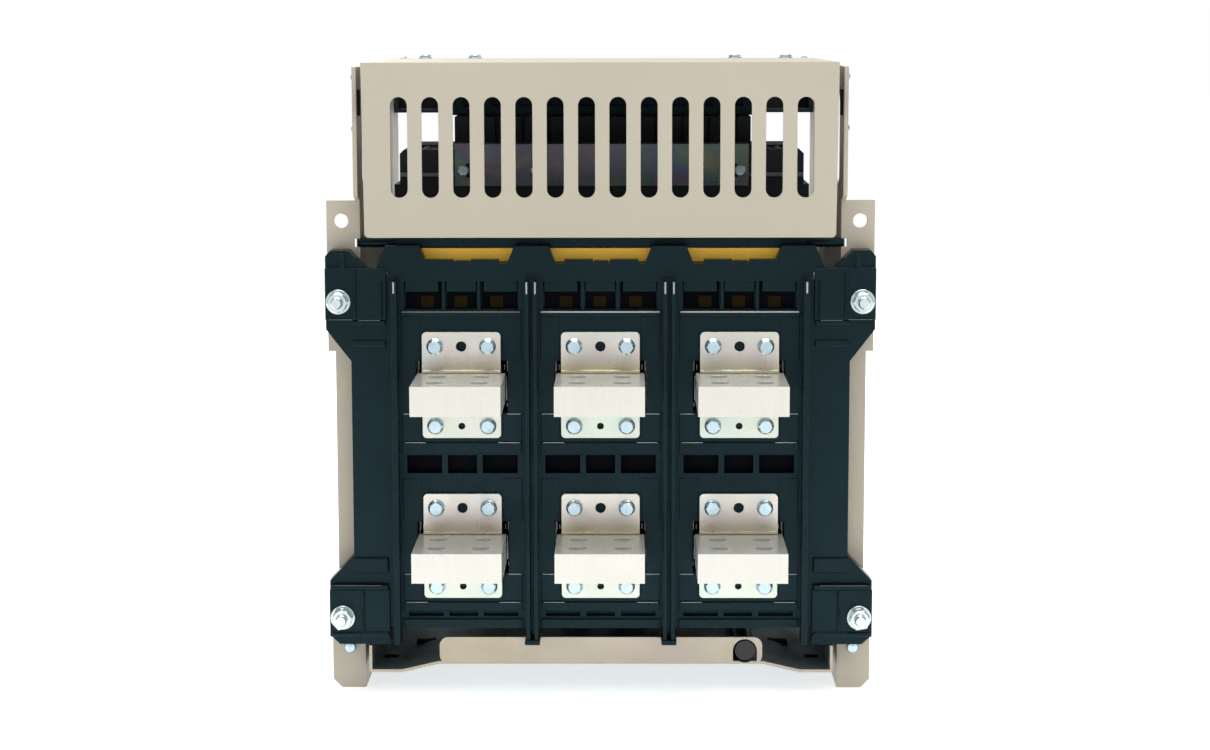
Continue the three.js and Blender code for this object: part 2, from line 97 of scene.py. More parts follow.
# ---------------------------------------------------------------- materials
class Shader:
    """A material made of nodes, with short calls to add and link them."""

    def __init__(self, name):
        self.material = bpy.data.materials.new(name)
        self.material.use_nodes = True
        self.tree = self.material.node_tree
        self.tree.nodes.clear()
        output = self.tree.nodes.new("ShaderNodeOutputMaterial")
        self.surface = self.node("ShaderNodeBsdfPrincipled")
        self.link(self.surface.outputs["BSDF"], output.inputs["Surface"])
        self.place = self.node("ShaderNodeTexCoord").outputs["Object"]

    def node(self, kind, **settings):
        made = self.tree.nodes.new(kind)
        for key, value in settings.items():
            setattr(made, key, value)
        return made

    def link(self, source, target):
        self.tree.links.new(source, target)

    def stretched(self, scale):
        mapping = self.node("ShaderNodeMapping")
        mapping.inputs["Scale"].default_value = scale
        self.link(self.place, mapping.inputs["Vector"])
        return mapping.outputs["Vector"]

    def noise(self, scale, detail=3.0, rough=0.5, vector=None, distortion=0.0):
        made = self.node("ShaderNodeTexNoise")
        made.inputs["Scale"].default_value = scale
        made.inputs["Detail"].default_value = detail
        made.inputs["Roughness"].default_value = rough
        made.inputs["Distortion"].default_value = distortion
        self.link(vector or self.place, made.inputs["Vector"])
        return made.outputs["Fac"]

    def ramp(self, value, stops):
        made = self.node("ShaderNodeValToRGB")
        while len(made.color_ramp.elements) < len(stops):
            made.color_ramp.elements.new(0.5)
        for element, (position, color) in zip(made.color_ramp.elements, stops):
            element.position = position
            element.color = (*color, 1.0)
        self.link(value, made.inputs["Fac"])
        return made.outputs["Color"]

    def remap(self, value, low, high, start=0.3, end=0.7):
        made = self.node("ShaderNodeMapRange")
        made.inputs["From Min"].default_value = start
        made.inputs["From Max"].default_value = end
        made.inputs["To Min"].default_value = low
        made.inputs["To Max"].default_value = high
        self.link(value, made.inputs["Value"])
        return made.outputs["Result"]

    def mix(self, factor, first, second):
        made = self.node("ShaderNodeMix", data_type="RGBA")
        self.link(factor, made.inputs["Factor"])
        self.link(first, made.inputs["A"])
        if isinstance(second, tuple):
            made.inputs["B"].default_value = (*second, 1.0)
        else:
            self.link(second, made.inputs["B"])
        return made.outputs["Result"]

    def bump(self, height, strength, distance, rounded=0.0):
        """Relief from a height, over edges that may be rounded by the given radius in metres."""
        made = self.node("ShaderNodeBump")
        made.inputs["Strength"].default_value = strength
        made.inputs["Distance"].default_value = distance
        self.link(height, made.inputs["Height"])
        if rounded:
            bevel = self.node("ShaderNodeBevel", samples=6)
            bevel.inputs["Radius"].default_value = rounded
            self.link(bevel.outputs["Normal"], made.inputs["Normal"])
        self.link(made.outputs["Normal"], self.surface.inputs["Normal"])

    def edge_mask(self, radius):
        """A mask that is full along convex and concave edges and 0 on flats."""
        bevel = self.node("ShaderNodeBevel", samples=4)
        bevel.inputs["Radius"].default_value = radius
        plain = self.node("ShaderNodeNewGeometry")
        dot = self.node("ShaderNodeVectorMath", operation="DOT_PRODUCT")
        self.link(bevel.outputs["Normal"], dot.inputs[0])
        self.link(plain.outputs["Normal"], dot.inputs[1])
        return self.remap(dot.outputs["Value"], 1.0, 0.0, 0.8, 0.995)

    def set(self, **values):
        for key, value in values.items():
            self.surface.inputs[key.replace("_", " ")].default_value = value


def shade(color, factor):
    """A lighter or darker copy of a colour."""
    return tuple(min(1.0, c * factor) for c in color)


def painted(name, color, roughness=0.42, spread=0.05, grain=900.0, depth=0.00012,
            edge=None, gloss=0.5, shine=(1, 1, 1)):
    """Powder coat or moulded plastic: drifting tone, fine grain and, where a colour is given, lighter edges,
    which are wear and, on the black base, also a painted highlight.
    """
    s = Shader(name)
    s.set(Specular_IOR_Level=gloss, Specular_Tint=(*shine, 1.0))
    tone = s.ramp(
        s.noise(9.0, 4.0, 0.55),
        [(0.3, shade(color, 1.0 - spread)), (0.55, color), (0.75, shade(color, 1.0 + spread))],
    )
    fleck = s.noise(260.0, 2.0, 0.6)
    tone = s.mix(s.remap(fleck, 0.0, spread * 1.6), tone, shade(color, 1.0 - 3 * spread))
    if edge:
        edge_band = s.edge_mask(0.0008)
        broken = s.node("ShaderNodeMath", operation="MULTIPLY")
        s.link(edge_band, broken.inputs[0])
        s.link(s.remap(s.noise(70.0, 4.0, 0.7), 0.15, 0.8), broken.inputs[1])
        tone = s.mix(broken.outputs["Value"], tone, edge)
    s.link(tone, s.surface.inputs["Base Color"])
    smudge = s.noise(35.0, 3.0)
    s.link(s.remap(smudge, roughness - 0.06, roughness + 0.08), s.surface.inputs["Roughness"])
    s.bump(s.noise(grain, 2.0, 0.4), 0.35, depth, rounded=0.0007)
    return s.material


def plated(name, color, roughness=0.3, streak=(1, 1, 1), tints=None, tint_scale=22.0,
           metallic=0.92, tint_amount=0.85):
    """Plated or bare metal: streaks, smudges in the gloss and, where given, passivation tints."""
    s = Shader(name)
    s.set(Metallic=metallic)
    grain = s.noise(120.0, 5.0, 0.65, s.stretched(streak))
    tone = s.ramp(grain, [(0.25, shade(color, 0.93)), (0.6, color), (0.85, shade(color, 1.04))])
    if tints:
        cloud = s.noise(tint_scale, 3.0, 0.5, distortion=1.6)
        steps = [(0.28 + 0.44 * i / (len(tints) - 1), tint) for i, tint in enumerate(tints)]
        share = s.remap(s.noise(14.0, 2.0), 0.4 * tint_amount, tint_amount)
        tone = s.mix(share, tone, s.ramp(cloud, steps))
    s.link(tone, s.surface.inputs["Base Color"])
    smudge = s.noise(45.0, 4.0, 0.6)
    s.link(s.remap(smudge, roughness - 0.05, roughness + 0.07), s.surface.inputs["Roughness"])
    s.bump(grain, 0.05, 0.00003)
    return s.material


def height_bands(s, low, high, bands):
    """A colour by height: bands are (height in millimetres, colour) between two heights."""
    split = s.node("ShaderNodeSeparateXYZ")
    s.link(s.place, split.inputs[0])
    level = s.remap(split.outputs["Z"], 0.0, 1.0, low * MM, high * MM)
    return s.ramp(level, [((h - low) / (high - low), color) for h, color in bands])


def banded_zinc(name):
    """Passivated zinc: greenish below each bar, gold along the bend above it, then pink and silver."""
    s = Shader(name)
    s.set(Metallic=0.92)
    green = (0.56, 0.66, 0.57)
    gold = (0.66, 0.59, 0.4)
    pink = (0.63, 0.57, 0.54)
    silver = (0.61, 0.62, 0.57)
    bands = []
    for row in ROWS.values():
        bands += [(row - 36.0, green), (row - 9.0, green), (row + 9.0, gold), (row + 14.0, gold)]
        bands += [(row + 19.0, pink), (row + 38.5, silver)]
    tone = height_bands(s, 60.0, 260.0, bands)
    tints = [(0.3, (0.56, 0.63, 0.62)), (0.5, (0.65, 0.6, 0.54)), (0.7, (0.62, 0.64, 0.54))]
    cloud = s.ramp(s.noise(30.0, 3.0, 0.5, distortion=1.5), tints)
    tone = s.mix(s.remap(s.noise(18.0, 2.0), 0.15, 0.6), tone, cloud)
    s.link(tone, s.surface.inputs["Base Color"])
    s.link(s.remap(s.noise(45.0, 4.0, 0.6), 0.24, 0.36), s.surface.inputs["Roughness"])
    s.bump(s.noise(220.0, 3.0, 0.5), 0.05, 0.00003)
    return s.material


def two_faced_tray(name):
    """Galvanised tray whose inside is painted dark teal as a reflection of the black base above it, and
    whose upstanding rear lip has warm tan passivation.
    """
    s = Shader(name)
    s.set(Metallic=0.5)
    split = s.node("ShaderNodeSeparateXYZ")
    s.link(s.place, split.inputs[0])
    lip = s.remap(split.outputs["Y"], 0.0, 1.0, 0.1372, 0.1378)
    spangle_and_reflection = s.ramp(s.noise(60.0, 3.0, 0.5, distortion=1.6), list(zip((0.3, 0.5, 0.7), TRAY_FLOOR_REFLECTION)))
    tan = s.ramp(s.noise(9.0, 3.0, 0.5, distortion=1.2), list(zip((0.3, 0.45, 0.6, 0.75), TAN_TINTS)))
    s.link(s.mix(lip, spangle_and_reflection, tan), s.surface.inputs["Base Color"])
    s.link(s.remap(s.noise(45.0, 4.0, 0.6), 0.3, 0.45), s.surface.inputs["Roughness"])
    s.bump(s.noise(200.0, 3.0, 0.5), 0.08, 0.00003, rounded=0.0005)
    return s.material


def fibre(name, color):
    """Pressed fibre board: short fibres in two directions and a dull surface."""
    s = Shader(name)
    long_way = s.noise(160.0, 4.0, 0.7, s.stretched((1, 1, 9)))
    cross = s.noise(160.0, 4.0, 0.7, s.stretched((9, 1, 1)))
    tone = s.ramp(long_way, [(0.3, shade(color, 0.72)), (0.6, color), (0.8, shade(color, 1.2))])
    tone = s.mix(s.remap(cross, 0.0, 0.5), tone, shade(color, 0.8))
    s.link(tone, s.surface.inputs["Base Color"])
    s.set(Roughness=0.62)
    s.bump(long_way, 0.3, 0.0002)
    return s.material


def clear_plastic(name):
    """Transparent moulding with a faint cool tint and uneven gloss."""
    s = Shader(name)
    s.set(IOR=1.5)
    s.surface.inputs["Transmission Weight"].default_value = 0.92
    tint = s.ramp(s.noise(20.0), [(0.3, (0.86, 0.9, 0.92)), (0.7, (0.94, 0.96, 0.97))])
    s.link(tint, s.surface.inputs["Base Color"])
    s.link(s.remap(s.noise(60.0, 4.0), 0.03, 0.12), s.surface.inputs["Roughness"])
    return s.material


CHROMATE = [(0.2, 0.24, 0.2), (0.2, 0.13, 0.22), (0.1, 0.16, 0.26), (0.13, 0.22, 0.18), (0.3, 0.24, 0.1)]
# Dark teal of the tray's inside: painted reflection of the black base, over the zinc spangle.
TRAY_FLOOR_REFLECTION = [(0.19, 0.265, 0.285), (0.165, 0.235, 0.255), (0.21, 0.285, 0.305)]
TAN_TINTS = [(0.43, 0.37, 0.27), (0.47, 0.42, 0.33), (0.44, 0.38, 0.33), (0.5, 0.44, 0.3)]
BOLT_TINTS = [(0.4, 0.58, 0.66), (0.54, 0.66, 0.72), (0.34, 0.5, 0.6)]
INK = (0.0045, 0.0105, 0.0125)
# Lighter edges of the black base: wear, and also a painted highlight along its edges.
INK_WEAR_AND_SHEEN = (0.02, 0.035, 0.042)
WORN_BEIGE = (0.58, 0.545, 0.46)
WORN_COAL = (0.04, 0.05, 0.06)
WORN_GREY = (0.24, 0.25, 0.26)
STUD_TINTS = [(0.55, 0.66, 0.68), (0.66, 0.72, 0.71)]
TEAL_SHINE = (0.45, 0.82, 0.95)
MATERIALS = {
    "cradle_paint": painted(
        "cradle_paint", (0.47, 0.43, 0.345), roughness=0.45, spread=0.03, grain=1400.0,
        depth=0.00006, edge=WORN_BEIGE, gloss=0.35,
    ),
    "tray_zinc": two_faced_tray("tray_zinc"),
    "base_black": painted(
        "base_black", INK, roughness=0.27, spread=0.2, grain=700.0, depth=0.00005, edge=INK_WEAR_AND_SHEEN,
        gloss=0.22, shine=TEAL_SHINE,
    ),
    "terminal_tin": plated(
        "terminal_tin", (0.67, 0.665, 0.61), roughness=0.22, streak=(9, 0.2, 0.25), metallic=0.4,
    ),
    "bracket_zinc": banded_zinc("bracket_zinc"),
    "contact_silver": plated("contact_silver", (0.8, 0.72, 0.6), roughness=0.33, streak=(1, 8, 1)),
    "crossbar_grey": painted(
        "crossbar_grey", (0.022, 0.034, 0.042), roughness=0.4, spread=0.08, grain=1200.0,
        depth=0.00008, gloss=0.35,
    ),
    "shutter_grey": painted("shutter_grey", (0.3, 0.31, 0.32), roughness=0.5, spread=0.05),
    "crank_black": painted("crank_black", (0.01, 0.01, 0.012), roughness=0.38, spread=0.15),
    "racking_steel": plated("racking_steel", (0.36, 0.38, 0.4), roughness=0.4, streak=(1, 6, 1)),
    "indicator_green": painted("indicator_green", (0.03, 0.25, 0.07), roughness=0.35, spread=0.06),
    "housing_black": painted(
        "housing_black", (0.009, 0.013, 0.017), roughness=0.42, spread=0.15, grain=800.0,
        depth=0.0001, edge=WORN_COAL, gloss=0.3,
    ),
    "chute_amber": fibre("chute_amber", (0.95, 0.56, 0.11)),
    "clamp_chromate": plated(
        "clamp_chromate", (0.16, 0.17, 0.15), roughness=0.3, streak=(1, 1, 1), tints=CHROMATE,
        tint_scale=16.0, metallic=0.9, tint_amount=1.0,
    ),
    "cover_grey": painted(
        "cover_grey", (0.16, 0.17, 0.18), roughness=0.5, spread=0.06, grain=900.0, depth=0.00016,
        edge=WORN_GREY,
    ),
    "trip_grey": painted("trip_grey", (0.02, 0.024, 0.03), roughness=0.4, spread=0.1),
    "trip_cover_clear": clear_plastic("trip_cover_clear"),
    "button_red": painted("button_red", (0.45, 0.02, 0.015), roughness=0.32, spread=0.06),
    "flag_yellow": painted("flag_yellow", (0.6, 0.38, 0.03), roughness=0.4, spread=0.06),
    "bolt_zinc": plated(
        "bolt_zinc", (0.45, 0.58, 0.64), roughness=0.24, streak=(1, 1, 1), tints=BOLT_TINTS,
        tint_scale=110.0,
    ),
    # A darkened copy of the amber board: painted shade deep in the pockets.
    "painted_shade_amber": painted(
        "painted_shade_amber", (0.022, 0.015, 0.002), roughness=0.8, spread=0.2, grain=700.0, depth=0.0001,
        gloss=0.08,
    ),
    "stud_zinc": plated(
        "stud_zinc", (0.6, 0.7, 0.71), roughness=0.26, streak=(1, 1, 1), tints=STUD_TINTS,
        tint_scale=80.0,
    ),
    "amber_board": painted(
        "amber_board", (0.95, 0.56, 0.07), roughness=0.5, spread=0.04, gloss=0.25,
    ),
    # A black darker than the base: painted shade in pockets, windows, slots and gaps.
    "painted_shade_black": painted(
        "painted_shade_black", (0.0015, 0.003, 0.006), roughness=0.6, spread=0.2, grain=700.0,
        depth=0.00005, gloss=0.05,
    ),
    # Painted highlights: a light grey and a dim grey for bright edges on the black moulding.
    "painted_highlight_grey": painted("painted_highlight_grey", (0.42, 0.43, 0.42), roughness=0.3, spread=0.1),
    "painted_dim_highlight": painted("painted_dim_highlight", (0.09, 0.1, 0.1), roughness=0.3, spread=0.1),
    "pale_label": painted("pale_label", (0.5, 0.51, 0.5), roughness=0.4, spread=0.03),
    "screen_glass": painted(
        "screen_glass", (0.05, 0.075, 0.05), roughness=0.12, spread=0.03, grain=900.0,
        depth=0.00001,
    ),
    "brass": plated("brass", (0.7, 0.52, 0.22), roughness=0.3),
    "bare_steel": plated("bare_steel", (0.6, 0.61, 0.62), roughness=0.32),
}
SLOT_OF = {p["node"]: p["material_slot"] for p in frame["record"]["subparts"]}


# ---------------------------------------------------------------- CAD nodes
def smoothing_group():
    """Geometry nodes that shade smooth across facets under 32 degrees and keep true corners sharp."""
    group = bpy.data.node_groups.new("facet_smoothing", "GeometryNodeTree")
    group.interface.new_socket("Geometry", in_out="INPUT", socket_type="NodeSocketGeometry")
    group.interface.new_socket("Geometry", in_out="OUTPUT", socket_type="NodeSocketGeometry")
    enter = group.nodes.new("NodeGroupInput")
    leave = group.nodes.new("NodeGroupOutput")
    faces = group.nodes.new("GeometryNodeSetShadeSmooth")
    faces.domain = "FACE"
    edges = group.nodes.new("GeometryNodeSetShadeSmooth")
    edges.domain = "EDGE"
    edges.inputs["Shade Smooth"].default_value = False
    angle = group.nodes.new("GeometryNodeInputMeshEdgeAngle")
    sharp = group.nodes.new("FunctionNodeCompare")
    sharp.operation = "GREATER_THAN"
    sharp.inputs["B"].default_value = CORNER
    group.links.new(enter.outputs[0], faces.inputs["Geometry"])
    group.links.new(faces.outputs[0], edges.inputs["Geometry"])
    group.links.new(angle.outputs["Unsigned Angle"], sharp.inputs["A"])
    group.links.new(sharp.outputs[0], edges.inputs["Selection"])
    group.links.new(edges.outputs[0], leave.inputs[0])
    return group


SMOOTHING = smoothing_group()
HARDENED = ("terminal_", "bracket_")
HARDENED_RADIUS = 0.35
GEOMETRY_ROUNDED = (
    "charging_handle", "on_button", "off_button", "reset_button", "trip_cover", "state_flag",
    "charge_flag", "racking_yoke", "racking_crank", "lead_screw", "rail_", "position_indicator",
)
USUAL_RADIUS = 0.4
EDGE_RADIUS = {
    "charging_handle": 1.5,
    "state_flag": 0.2,
    "charge_flag": 0.2,
    "on_button": 1.0,
    "off_button": 1.0,
}


def round_edges(o, width, segments):
    """A bevel, its width in millimetres, on every corner that the smoothing keeps sharp."""
    bevel = o.modifiers.new("edges", "BEVEL")
    bevel.width = width * MM
    bevel.segments = segments
    bevel.limit_method = "ANGLE"
    bevel.angle_limit = CORNER
    return bevel


def refine(node):
    """Gives a CAD node its slot's material, smooth facets and, where its faces allow, rounded corners."""
    o = NODES[node]
    o.modifiers.new("weld", "WELD").merge_threshold = 1e-6
    o.data.materials.clear()
    o.data.materials.append(MATERIALS[SLOT_OF[node]])
    if not node.startswith(GEOMETRY_ROUNDED):
        o.modifiers.new("smooth", "NODES").node_group = SMOOTHING
        if node.startswith(HARDENED):
            bevel = round_edges(o, HARDENED_RADIUS, 2)
            bevel.use_clamp_overlap = False
            bevel.harden_normals = True
        return
    flat = o.modifiers.new("flatten", "DECIMATE")
    flat.decimate_type = "DISSOLVE"
    flat.angle_limit = math.radians(0.5)
    width = EDGE_RADIUS.get(node, USUAL_RADIUS)
    round_edges(o, width, 3 if width > 0.8 else 2)
    o.modifiers.new("smooth", "NODES").node_group = SMOOTHING
    o.modifiers.new("shading", "WEIGHTED_NORMAL").keep_sharp = True


# ---------------------------------------------------------------- detail pieces
def turned(direction):
    """The rotation that stands local +Z along a direction. Straight up, it adds half a turn about Z."""
    return Vector(direction).to_track_quat("Z", "Y").to_matrix().to_4x4()


def angles(count):
    """Evenly spaced angles round a full turn."""
    return [2 * math.pi * i / count for i in range(count)]


def circle(radius, height, sides):
    """One ring of points about the local Z axis."""
    return [(radius * math.cos(a), radius * math.sin(a), height) for a in angles(sides)]


def from_flat(angle):
    """The angle to the middle of the nearest side of a hexagon."""
    return (angle + math.pi / 6) % (math.pi / 3) - math.pi / 6


class Piece:
    """One detail object, built up from rings and blocks in millimetres."""

    def __init__(self, name):
        self.name = name
        self.mesh = bmesh.new()

    def rings(self, rings, at, along, closed=True):
        """Skins a stack of rings of equal count, and caps the first and the last unless told not to."""
        place = Matrix.Translation(Vector(at)) @ turned(along)
        rows = [[self.mesh.verts.new(place @ Vector(p)) for p in ring] for ring in rings]
        count = len(rows[0])
        for low, high in zip(rows, rows[1:]):
            for i in range(count):
                j = (i + 1) % count
                self.mesh.faces.new((low[i], low[j], high[j], high[i]))
        if closed:
            self.mesh.faces.new(list(reversed(rows[0])))
            self.mesh.faces.new(rows[-1])

    def lathe(self, profile, at, along, sides=32):
        """A round body from (radius, height) pairs."""
        self.rings([circle(r, h, sides) for r, h in profile], at, along)

    def hex_head(self, across, height, at, along, spin):
        """A hexagon whose top corners are turned off by a cone."""
        sides = 48
        flat = across / 2
        low = []
        shoulder = []
        crown = []
        top = []
        for a in angles(sides):
            r = flat / math.cos(from_flat(a))
            x = math.cos(a + spin)
            y = math.sin(a + spin)
            low.append((r * x, r * y, 0))
            shoulder.append((r * x, r * y, height - 0.55 * (r - flat) - 0.04 * across))
            crown.append((0.93 * flat * x, 0.93 * flat * y, height))
            top.append((0.5 * flat * x, 0.5 * flat * y, height))
        self.rings([low, shoulder, crown, top], at, along)

    def washer(self, inner, outer, height, at, along):
        """A flat ring with broken outer edges."""
        sides = 40
        c = 0.12 * height
        loop = [(inner, 0), (outer - c, 0), (outer, c), (outer, height - c), (outer - c, height)]
        loop += [(inner, height), (inner, 0)]
        self.rings([circle(r, h, sides) for r, h in loop], at, along, closed=False)

    def threaded_end(self, radius, length, at, along):
        """A bolt's end with a groove for each turn of its thread and a cone at the tip."""
        pitch = 1.25
        profile = [(radius * 0.86, 0)]
        turns = int(length / pitch)
        for i in range(turns):
            h = i * pitch
            root = radius * 0.87
            profile += [(root, h + 0.1 * pitch), (radius, h + 0.5 * pitch), (root, h + 0.9 * pitch)]
        profile += [(radius * 0.8, length), (radius * 0.4, length)]
        self.lathe(profile, at, along, 28)

    def block(self, low, high):
        """A box between two opposite corners."""
        corners = itertools.product(*zip(low, high))
        v = [self.mesh.verts.new(c) for c in corners]
        for ids in ((0, 1, 3, 2), (4, 6, 7, 5), (0, 4, 5, 1), (2, 3, 7, 6), (0, 2, 6, 4), (1, 5, 7, 3)):
            self.mesh.faces.new([v[i] for i in ids])

    def socket_screw(self, radius, height, at, along):
        """A cap screw with a hexagon socket."""
        sides = 36
        outer = [(radius, 0), (radius, height - 0.3), (radius - 0.4, height)]
        rows = [circle(r, h, sides) for r, h in outer]
        for h in (height, 0.4 * height):
            ring = []
            for a in angles(sides):
                r = 0.48 * radius / math.cos(from_flat(a))
                ring.append((r * math.cos(a), r * math.sin(a), h))
            rows.append(ring)
        self.rings(rows, at, along)

    def done(self, body, slot, material=None, bevel=0.0):
        """Makes the object, which rides on a body and takes its slot's material unless another is named."""
        self.mesh.transform(Matrix.Scale(MM, 4))
        bmesh.ops.recalc_face_normals(self.mesh, faces=self.mesh.faces)
        for face in self.mesh.faces:
            face.smooth = True
        data = bpy.data.meshes.new(self.name)
        self.mesh.to_mesh(data)
        self.mesh.free()
        o = bpy.data.objects.new(self.name, data)
        bpy.context.scene.collection.objects.link(o)
        data.set_sharp_from_angle(angle=CORNER)
        data.materials.append(MATERIALS[material or slot])
        if bevel:
            round_edges(o, bevel, 2)
            o.modifiers.new("shading", "WEIGHTED_NORMAL").keep_sharp = True
        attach(o, body)


def flange_bolt(piece, at, spin):
    """A hexagon head on its own round flange, facing the rear."""
    half = BOLT_ACROSS * 0.52
    skirt = [(FLANGE_R, 0), (FLANGE_R, 0.7), (half, 1.7), (BOLT_ACROSS * 0.4, 1.8)]
    piece.lathe(skirt, at, BACK, 40)
    piece.hex_head(BOLT_ACROSS, half, Vector(at) + Vector(BACK) * 1.2, BACK, spin)


def bracket_bolts():
    """Four flanged bolts on each bracket, every head turned a little differently."""
    for row, z in ROWS.items():
        for side, x in POLES.items():
            piece = Piece(f"bracket_bolts_{row}_{side}")
            spots = [(-1, BOLT_UP), (1, BOLT_UP), (-1, BOLT_DOWN), (1, BOLT_DOWN)]
            for i, (dx, dz) in enumerate(spots):
                at = (x + dx * BOLT_SPREAD, REAR, z + dz)
                flange_bolt(piece, at, 0.4 + i * 0.9 + x)
            piece.done("cradle", "bracket_zinc", "bolt_zinc")


def base_studs():
    """Two washers, a nut and a threaded end on each corner lug."""
    for side, sign in SIDES.items():
        for level, z in zip(("upper", "lower"), STUD_HEIGHTS):
            piece = Piece(f"base_stud_{level}_{side}")
            at = Vector((sign * STUD_X, REAR, z))
            piece.washer(4.4, 8.4, 1.5, at, BACK)
            piece.washer(4.4, 6.9, 1.8, at + Vector((0, 1.5, 0)), BACK)
            piece.hex_head(13.0, 6.0, at + Vector((0, 3.3, 0)), BACK, 0.3 * z)
            piece.threaded_end(4.0, 12.0, at + Vector((0, 2.0, 0)), BACK)
            piece.done("cradle", "bracket_zinc", "stud_zinc")


def blocks(name, body, slot, boxes, material=None, bevel=0.3):
    """One piece made of separate blocks, each given by two opposite corners."""
    piece = Piece(name)
    for low, high in boxes:
        piece.block(low, high)
    piece.done(body, slot, material, bevel)


def box_at(x, y, z):
    """A block from three (low, high) pairs."""
    return (x[0], y[0], z[0]), (x[1], y[1], z[1])


def around(middle, half):
    """A (low, high) pair about a middle."""
    return middle - half, middle + half


def on_side(sign, near, far, middle=0.0):
    """A (low, high) pair that lies from near to far on one side of a middle."""
    return sorted((middle + sign * near, middle + sign * far))


def base_trims():
    """Stepped panels of each bay: their top edges catch the light beside the terminals."""
    steps = ((0.5, (234.6, 264.3)), (0.9, (177.6, 196.6)), (0.5, (122.0, 152.0)), (0.9, (66.0, 84.6)))
    for side, x in POLES.items():
        strips = []
        for s in (-1, 1):
            beside = on_side(s, 28.0, 41.0, x)
            for rise, heights in steps:
                strips.append(box_at(beside, (PANEL, PANEL + rise), heights))
        for heights in ((169.5, 176.9), (59.5, 65.0)):
            strips.append(box_at(around(x, 41), (PANEL, PANEL + 1.8), heights))
        blocks(f"bay_trim_{side}", "cradle", "base_black", strips, None, 0.5)


def pocket_ambers():
    """Insulating board seen at the bottom of each bay's upper pockets, darkened as painted shade."""
    for side, x in POLES.items():
        deep = (PANEL - 7.8, PANEL - 6.6)
        boards = [box_at(around(x + dx, 4.6), deep, (269.2, 277.6)) for dx in (-24.0, 0.5, 23.5)]
        blocks(f"pocket_boards_{side}", "cradle", "chute_amber", boards, "painted_shade_amber")


def pocket_brows():
    """Recessed faces that close the top half of each upper pocket, and the board behind the top edge."""
    for side, x in POLES.items():
        deep = (PANEL - 7.0, PANEL - 1.2)
        spans = ((-38.6, -15.4), (-10.4, 10.4), (15.4, 38.6))
        faces = [box_at((x + near, x + far), deep, (280.6, 288.6)) for near, far in spans]
        blocks(f"pocket_brows_{side}", "cradle", "base_black", faces, None, 0.5)
    board = box_at(around(0, 133), (124.4, 126.6), (300.3, 309.6))
    blocks("chute_screen", "cradle", "chute_amber", [board], "amber_board")


def pocket_backs():
    """Bottoms of the moulded pockets, darker than the base as painted shade."""
    for side, x in POLES.items():
        backs = []
        for near, far in POCKETS:
            backs.append(box_at((x + near, x + far), (PANEL - 8.8, PANEL - 7.4), (155.8, 167.6)))
            backs.append(box_at((x + near - 0.6, x + far + 0.6), (PANEL - 7.9, PANEL - 7.7), (269.0, 287.6)))
        blocks(f"pocket_backs_{side}", "cradle", "base_black", backs, "painted_shade_black", 0.1)


def edge_glints():
    """Painted highlights along the top edges of the bay steps; the lip's is dimmer on the right bay."""
    for side, x in POLES.items():
        material = "painted_dim_highlight" if side == "right" else "painted_highlight_grey"
        bead = box_at(around(x, 40.6), (PANEL + 2.6, PANEL + 3.3), (266.7, 267.7))
        blocks(f"lip_highlight_{side}", "cradle", "base_black", [bead], material)
        lines = []
        for s in (-1, 1):
            for heights in ((196.4, 196.9), (84.4, 84.9)):
                lines.append(box_at(on_side(s, 31.0, 40.5, x), (PANEL + 0.6, PANEL + 1.15), heights))
            for heights in ((176.7, 177.2), (64.8, 65.2)):
                lines.append(box_at(on_side(s, 25.0, 39.5, x), (PANEL + 1.5, PANEL + 2.05), heights))
        blocks(f"step_glints_{side}", "cradle", "base_black", lines, "painted_highlight_grey", 0.12)


def rib_tips():
    """Painted highlights on the upper ends of the moulded ribs, and their plain feet."""
    skin = (RIB_FACE, RIB_FACE + 0.6)
    tips = []
    for x, dx in itertools.product((-47.0, 47.0), (-2.9, 2.9)):
        tips.append(box_at(around(x + dx, 0.55), skin, (280.5, 288.6)))
    for x in (-140.0, 140.0):
        tips.append(box_at(around(x, 0.6), skin, (281.0, 288.6)))
    blocks("rib_tips", "cradle", "base_black", tips, "painted_highlight_grey", 0.25)
    feet = [box_at(around(x, 5.2), (PANEL - 2, 153.2), (37.7, 41.0)) for x in (-47.0, 47.0)]
    blocks("rib_feet", "cradle", "base_black", feet, None, 0.6)


def terminal_guards():
    """Moulded surround, darker than the base as painted shade, and thin spring fingers behind every terminal
    window.
    """
    deep = (113.0, 115.5)
    for row, z in ROWS.items():
        for side, x in POLES.items():
            ring = [
                box_at((x - 31.2, x - 21.0), deep, around(z, 17.6)),
                box_at((x + 21.0, x + 31.2), deep, around(z, 17.6)),
                box_at(around(x, 21.0), deep, (z + 7.0, z + 17.6)),
                box_at(around(x, 21.0), deep, (z - 17.6, z - 7.0)),
            ]
            blocks(f"window_guard_{row}_{side}", "cradle", "base_black", ring, "painted_shade_black", 0.2)
            fingers = []
            for s in (-1, 1):
                for dx, low, high in FINGERS:
                    heights = (z + low, z + high)
                    fingers.append(box_at(around(x + s * dx, 0.3), (115.8, 121.0), heights))
            blocks(f"spring_fingers_{row}_{side}", "cradle", "contact_silver", fingers, "bare_steel", 0.1)


